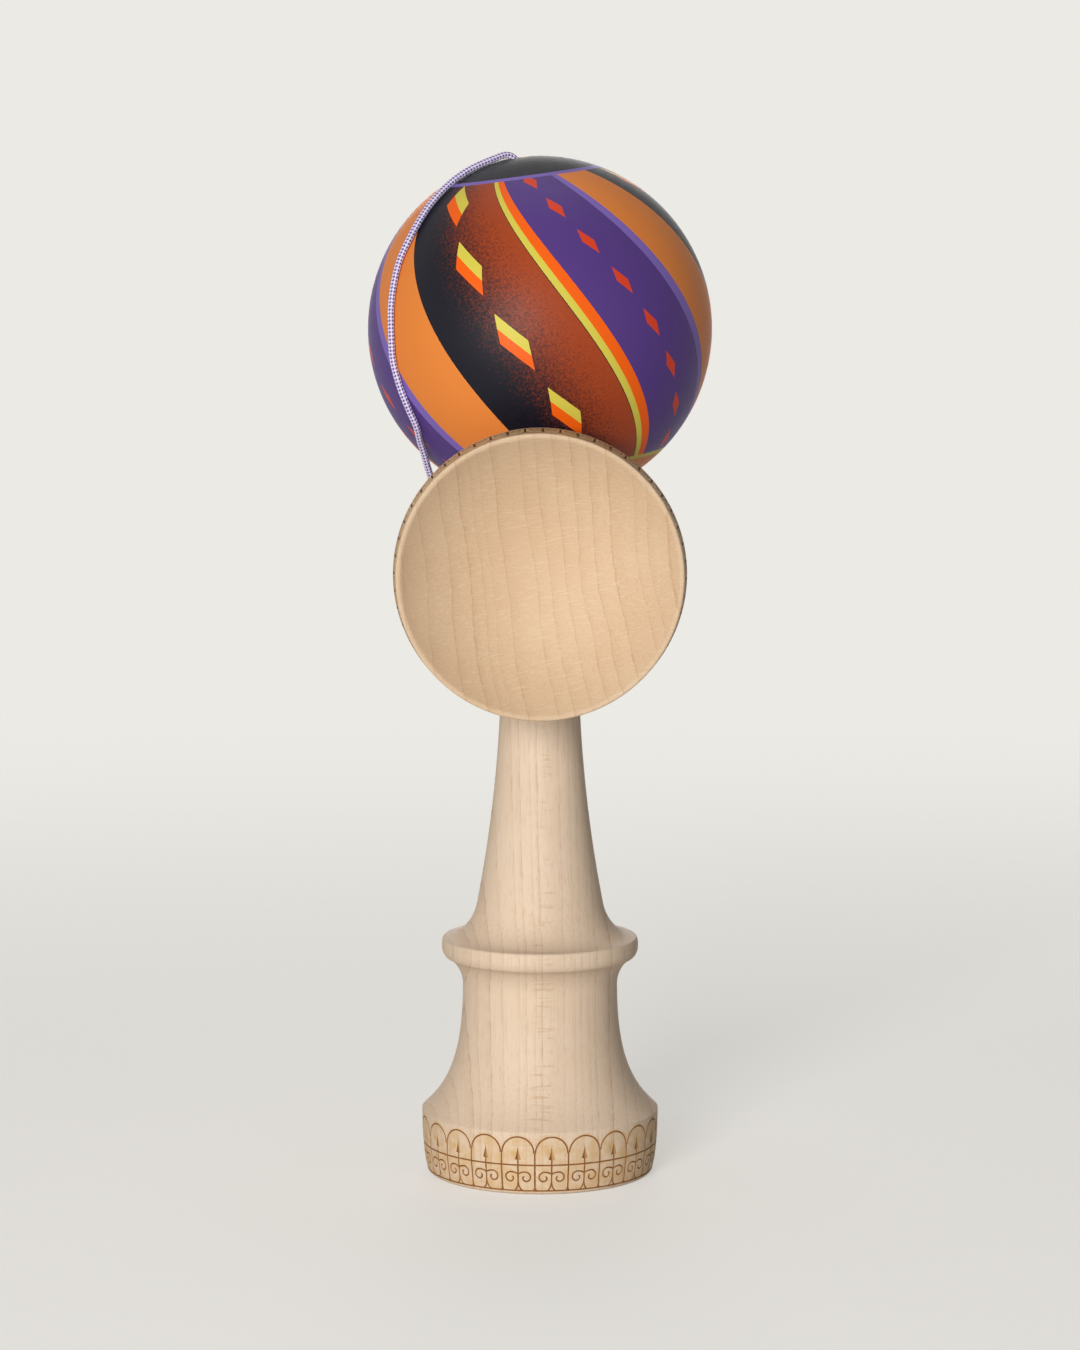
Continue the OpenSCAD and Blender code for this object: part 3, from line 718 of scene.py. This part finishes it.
# End knots: the same braided cord pulled tight into an overhand knot, drawn closed, without its ends.
# The cord is round polyester, braided from white strands one way and purple ones the other.
# One knot sits in the handle's pocket and one under the bead, and each keeps the string from slipping.
# Strands are drawn about half as wide again as real ones, which are too fine to show
strands, strand_rise, yarn_half = 6, 0.16, 0.4
strand_lay = 2 * math.pi * string_r / strands
knot_r, knot_l, knot_string_r = 1.5, 2, 0.48
knot_points, knot_sides = 120, 16


def strand_height(u, v):
    """How far the upper strand stands out at a place round and along the braid, from 0 to 1."""
    rising, falling = strands * u + v / strand_lay, strands * u - v / strand_lay
    upper = rising if (math.floor(rising) + math.floor(falling)) % 2 == 0 else falling
    return math.sin(math.pi * (upper % 1))


def braided(name, line, radius, sides, closed=False):
    """A braided cord along a line of points in millimetres, with its crossings raised on the mesh."""
    count = len(line)
    ends = [(line[(i - 1) % count], line[(i + 1) % count]) if closed else
            (line[max(i - 1, 0)], line[min(i + 1, count - 1)]) for i in range(count)]
    ways = [(after - before).normalized() for before, after in ends]
    side = ways[0].orthogonal().normalized()
    frames, lengths = [], [0]
    for i, ahead in enumerate(ways):
        side = (side - ahead * side.dot(ahead)).normalized()
        frames.append((side.copy(), ahead.cross(side)))
        if i:
            lengths.append(lengths[-1] + (line[i] - line[i - 1]).length)
    last = (side - ways[0] * side.dot(ways[0])).normalized()
    slip = math.atan2(last.dot(frames[0][1]), last.dot(frames[0][0])) if closed else 0
    points = []
    for i, (across, over) in enumerate(frames):
        for k in range(sides):
            turn = 2 * math.pi * k / sides - slip * i / count
            rise = 1 - strand_rise * (1 - strand_height(k / sides, lengths[i]))
            points.append((line[i] + (across * math.cos(turn) + over * math.sin(turn)) * radius * rise) * mm)
    faces, places = [], []
    for i in range(count if closed else count - 1):
        next_ring = (i + 1) % count
        v0, v1 = lengths[i], lengths[i] + (line[next_ring] - line[i]).length
        for k in range(sides):
            far = (k + 1) % sides
            faces.append((i * sides + k, i * sides + far, next_ring * sides + far, next_ring * sides + k))
            u0, u1 = k / sides, (k + 1) / sides
            places += [u0, v0, u1, v0, u1, v1, u0, v1]
    if not closed:
        faces += [tuple(range(sides))[::-1], tuple(range((count - 1) * sides, count * sides))]
        places += [0, 0] * sides + [0, lengths[-1]] * sides
    cord = new_piece(name, points, faces)
    cord.data.uv_layers.new(name="braid").data.foreach_set("uv", places)
    cord.data.materials.append(polyester_braid)
    smoothed(cord, crease=60)
    return cord


# Braided polyester: pale lilac-white with small purple crossings, matt, with a fine sheen from its fibres.
polyester_braid, tree, shader = new_material("polyester_braid")
spot = add(tree, "UVMap", uv_map="braid")
u, v, _ = add(tree, "SeparateXYZ", [spot], None).outputs
along = add(tree, "Math", [v, strand_lay], operation="DIVIDE")
rising = add(tree, "Math", [u, strands, along], operation="MULTIPLY_ADD")
back = add(tree, "Math", [along, -1], operation="MULTIPLY")
falling = add(tree, "Math", [u, strands, back], operation="MULTIPLY_ADD")
rising_number = add(tree, "Math", [rising], operation="FLOOR")
falling_number = add(tree, "Math", [falling], operation="FLOOR")
total = add(tree, "Math", [rising_number, falling_number], operation="ADD")
upper = add(tree, "Math", [total, 2], operation="FLOORED_MODULO")
core = add(tree, "Math", [falling], operation="FRACT")
core = add(tree, "Math", [core, -0.5], operation="ADD")
core = add(tree, "Math", [core], operation="ABSOLUTE")
core = add(tree, "Math", [core, yarn_half], operation="LESS_THAN")
purple_yarn = add(tree, "Math", [upper, core], operation="MULTIPLY")
yarn = add(tree, "Mix",
           {"Factor": purple_yarn, 6: linear("#E6DEF2"), 7: linear("#6A4F9C")}, 2, data_type="RGBA")
tree.links.new(yarn, shader.inputs["Base Color"])
shader.inputs["Roughness"].default_value = 0.6
shader.inputs["Sheen Weight"].default_value = 0.25
shader.inputs["Specular IOR Level"].default_value = 0.3


def overhand(place):
    """Line of a tight overhand knot, drawn as a trefoil as wide and long as the knot."""
    size = (knot_r - knot_string_r) / 3
    rise = knot_l / 2 - knot_string_r
    line = []
    for i in range(knot_points):
        t = 2 * math.pi * i / knot_points
        spot = Vector((size * (math.sin(t) + 2 * math.sin(2 * t)),
                       size * (math.cos(t) - 2 * math.cos(2 * t)),
                       -rise * math.sin(3 * t)))
        line.append(place @ (spot * mm) / mm)
    return line


bead_knot_at = in_ball @ Matrix.Translation((0, 0, (knot_top - knot_l / 2) * mm))
ken_knot_at = along_x @ Matrix.Translation((0, 0, (knot_seat_x + knot_gap + knot_l / 2) * mm))
for name, place, body, node in (("bead_knot_tied", bead_knot_at, "bead", "bead_knot"),
                                ("ken_knot_tied", ken_knot_at, "ken", "ken_knot")):
    knot = braided(name, overhand(place), knot_string_r, knot_sides, closed=True)
    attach(knot, body)
    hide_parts(node)

# String: one length of the braid, from the knot in the handle out through the cross-piece's left side,
# taut over the ball and in at its top, with the slack wound away inside the ball down to the bead.
# Its two stretches meet at the cross-piece's side.
route_free = [(-12.6, 0, 110), (-13, 0, 110), (-13.78, -0.08, 110.12), (-14.49, -0.29, 110.45),
              (-15.03, -0.62, 110.96), (-15.34, -1.02, 111.58), (-16, -2.6, 114), (-16.7, -4.2, 116.5),
              (-17.4, -5.8, 119), (-18.1, -7.4, 121.5), (-18.7, -9, 124), (-19.4, -10.6, 126.5),
              (-20, -12.2, 129), (-20.7, -13.8, 131.5)]
route_ball = [(216, -31), (216, -24), (215, -16), (214, -8), (214, 0), (213, 8), (212, 16), (211, 24),
              (211, 32), (210, 40), (208, 48), (205, 57), (202, 65), (198, 73)]
dip_from, dip_steps = math.radians(207), 4
coil_turns, loop_points = 2.5, 24
coil_in_r, coil_out_r = (1 + math.sqrt(2)) * bend_r, 9.9
bend_step, whole_bend, joins_at = 15, 90 + 135, math.radians(45)
lay_gap = 0.05
over_ball = tama_r + string_r + lay_gap
pole_join = over_ball - bend_r
side_join = -route_free[0][0]


def ease(u):
    """From 0 to 1, slow at both ends."""
    return u * u * (3 - 2 * u)


def round_axis(radius, turn, height):
    """A point of the string in the ball, as a point of the whole object."""
    spot = Vector((radius * math.cos(turn), radius * math.sin(turn), height))
    return in_ball @ (spot * mm) / mm


def bent(degrees):
    """A point of the bend from the ball's axis to the level and on round into the innermost turn."""
    out, down = 1 - math.cos(math.radians(degrees)), 1 - math.sin(math.radians(degrees))
    return Vector((out, 0, down) if degrees < 90 else (out, down, 0)) * bend_r


outer_line = [Vector(p) for p in route_free]
for azimuth, elevation in route_ball:
    azimuth, elevation = math.radians(azimuth), math.radians(elevation)
    way = Vector((math.cos(elevation) * math.cos(azimuth), math.cos(elevation) * math.sin(azimuth),
                  math.sin(elevation)))
    outer_line.append(Vector((0, 0, tama_z)) + way * over_ball)
for i in range(dip_steps + 1):
    bend = math.radians(90 * i / dip_steps)
    inwards, above = bend_r * (1 - math.sin(bend)), bend_r * math.cos(bend)
    outer_line.append(round_axis(inwards, dip_from, pole_join + above))

slack_line = [round_axis(0, 0, pole_join + (layer_1 + bend_r - pole_join) * i / 3) for i in (1, 2)]
bends = [bent(degrees) for degrees in range(0, whole_bend, bend_step)]
slack_line += [in_ball @ (Vector((x, y, layer_1 + z)) * mm) / mm for x, y, z in bends]
coil_end = 2 * math.pi * coil_turns
for i in range(round(2 * coil_turns * loop_points) + 1):
    turn = 2 * math.pi * i / loop_points
    wound = 1 - abs(turn - coil_end) / coil_end
    climb = ease(min(1, max(0, (turn - coil_end) / math.pi + 0.5)))
    wound_r = coil_in_r + (coil_out_r - coil_in_r) * wound
    slack_line.append(round_axis(wound_r, turn + joins_at, layer_1 - layer_step * climb))
slack_line += [in_ball @ (Vector((y, x, layer_2 - z)) * mm) / mm for x, y, z in reversed(bends)]
slack_line += [round_axis(0, 0, bead_top + (knot_top - bead_top) * i / 3) for i in (1, 2, 3)]


def evened(line, gap, span_points=13):
    """A smooth line through points, with its own points an even gap apart."""
    reach = [2 * line[0] - line[1]] + line + [2 * line[-1] - line[-2]]
    fine = [line[0]]
    for before, start, end, after in zip(reach, reach[1:], reach[2:], reach[3:]):
        a, b, c = (math.sqrt((q - p).length) for p, q in ((before, start), (start, end), (end, after)))
        lead = (start - before) * (b / a) - (end - before) * (b / (a + b)) + end - start
        trail = end - start - (after - start) * (b / (b + c)) + (after - end) * (b / c)
        fine += interpolate_bezier(start, start + lead / 3, end - trail / 3, end, span_points)[1:]
    spots, spare = [fine[0]], 0
    for a, b in zip(fine, fine[1:]):
        step = (b - a).length
        while spare + step >= gap:
            a = a + (b - a) * ((gap - spare) / step)
            step = (b - a).length
            spots.append(a)
            spare = 0
        spare += step
    return spots + [fine[-1]] if spare > gap / 2 else spots[:-1] + [fine[-1]]


string_sides, fine_gap, wound_gap = 32, 0.12, 0.24
outer_part = evened(outer_line, fine_gap)
slack_part = evened([outer_line[-1]] + slack_line, wound_gap)
string_line = outer_part + slack_part[1:]
string = braided("string_braided", string_line, string_r, string_sides)
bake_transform(string)
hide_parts("string_outer", "string_slack")

inner_line = [Vector((knot_seat_x + knot_gap, 0, sarado_z)), Vector((-side_join, 0, sarado_z))]
inner_string = braided("string_through_ken", evened(inner_line, fine_gap), string_r, string_sides)
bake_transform(inner_string)
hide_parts("string_in_ken")

# Floor: a plain pale table top that the kendama stands on.
# It fades into the background, so that no edge or horizon shows from any side.
# Only the object's shadow falls on it.
floor_r, floor_sides = 700, 96
fade_from, fade_to = 0.12, 0.6
floor_glow = 0.53


def looked_at(tree):
    """1 for rays from the camera and for those that show the set in gloss or through glass."""
    rays = add(tree, "LightPath", output=None).outputs
    seen = rays["Is Camera Ray"]
    for ray in ("Is Glossy Ray", "Is Transmission Ray"):
        seen = add(tree, "Math", [seen, rays[ray]], operation="MAXIMUM")
    return seen


floor = turned("floor", [(0, 0), (floor_r, 0)], floor_sides)
# Pale matt paper: a soft grey shadow on an even tone, with no highlight. It glows only where it is looked
# at, so that it meets the background in tone and casts no light on the object.
floor_paper, tree, paper = new_material("pale_paper")
spot = add(tree, "TexCoord", output="Object")
away = add(tree, "VectorMath", [spot], "Value", operation="LENGTH")
edge = add(tree, "MapRange",
           {"Value": away, "From Min": fade_from, "From Max": fade_to}, interpolation_type="SMOOTHSTEP")
paper.inputs["Base Color"].default_value = linear("#C4C2BE")
paper.inputs["Roughness"].default_value = 0.9
paper.inputs["Specular IOR Level"].default_value = 0.1
paper.inputs["Emission Color"].default_value = linear("#ECEAE5")
glow = add(tree, "Math", [looked_at(tree), floor_glow], operation="MULTIPLY")
tree.links.new(glow, paper.inputs["Emission Strength"])
clear = add(tree, "BsdfTransparent")
mixed = add(tree, "MixShader", [edge, paper.outputs["BSDF"], clear])
tree.links.new(mixed, tree.nodes["Material Output"].inputs["Surface"])
floor.data.materials.append(floor_paper)

# Light: one large soft box in front and to the left, weaker ones to the right, above and behind,
# and an even pale room. Together they light the front at a plain level, let the right edges fall
# a little darker and keep the back from going black.
aim = Vector((0, 0, 0.1))
for name, place, size, power in (("key_light", (-0.36, -1.17, 0.32), 0.45, 14.4),
                                 ("fill_light", (0.9, -0.8, 0.3), 0.6, 0.6),
                                 ("top_light", (0, 0.25, 1.1), 0.6, 1.6),
                                 ("back_light", (0, 1.1, 0.3), 0.6, 3)):
    lamp = bpy.data.lights.new(name, "AREA")
    lamp.size = size
    lamp.energy = power
    holder = bpy.data.objects.new(name, lamp)
    holder.location = place
    holder.rotation_euler = (aim - Vector(place)).to_track_quat("-Z", "Y").to_euler()
    bpy.context.scene.collection.objects.link(holder)

# A pale room: a faint even light that fills the shadows, and a plain pale background where it is looked at.
world = bpy.data.worlds.new("pale_room")
world.use_nodes = True
bpy.context.scene.world = world
tree = world.node_tree
room = tree.nodes["Background"]
room.inputs["Color"].default_value = linear("#F3F1EC")
room.inputs["Strength"].default_value = 0.08
seen = add(tree, "Background", {"Color": linear("#ECEAE5"), "Strength": 1})
backdrop = add(tree, "MixShader", [looked_at(tree), room.outputs["Background"], seen])
tree.links.new(backdrop, tree.nodes["World Output"].inputs["Surface"])

# Camera: in front, a little higher than the top of the ball and looking a little down,
# at the place and angle that fit the photograph's outlines.
camera = bpy.data.cameras.new("camera")
camera.lens = 122.67
camera.sensor_width = 36
camera_holder = bpy.data.objects.new("camera", camera)
camera_holder.location = (0, -0.8034, 0.1961)
camera_holder.rotation_euler = (math.radians(82.4), 0, 0)
bpy.context.scene.collection.objects.link(camera_holder)
bpy.context.scene.camera = camera_holder
bpy.context.scene.view_settings.view_transform = "Standard"
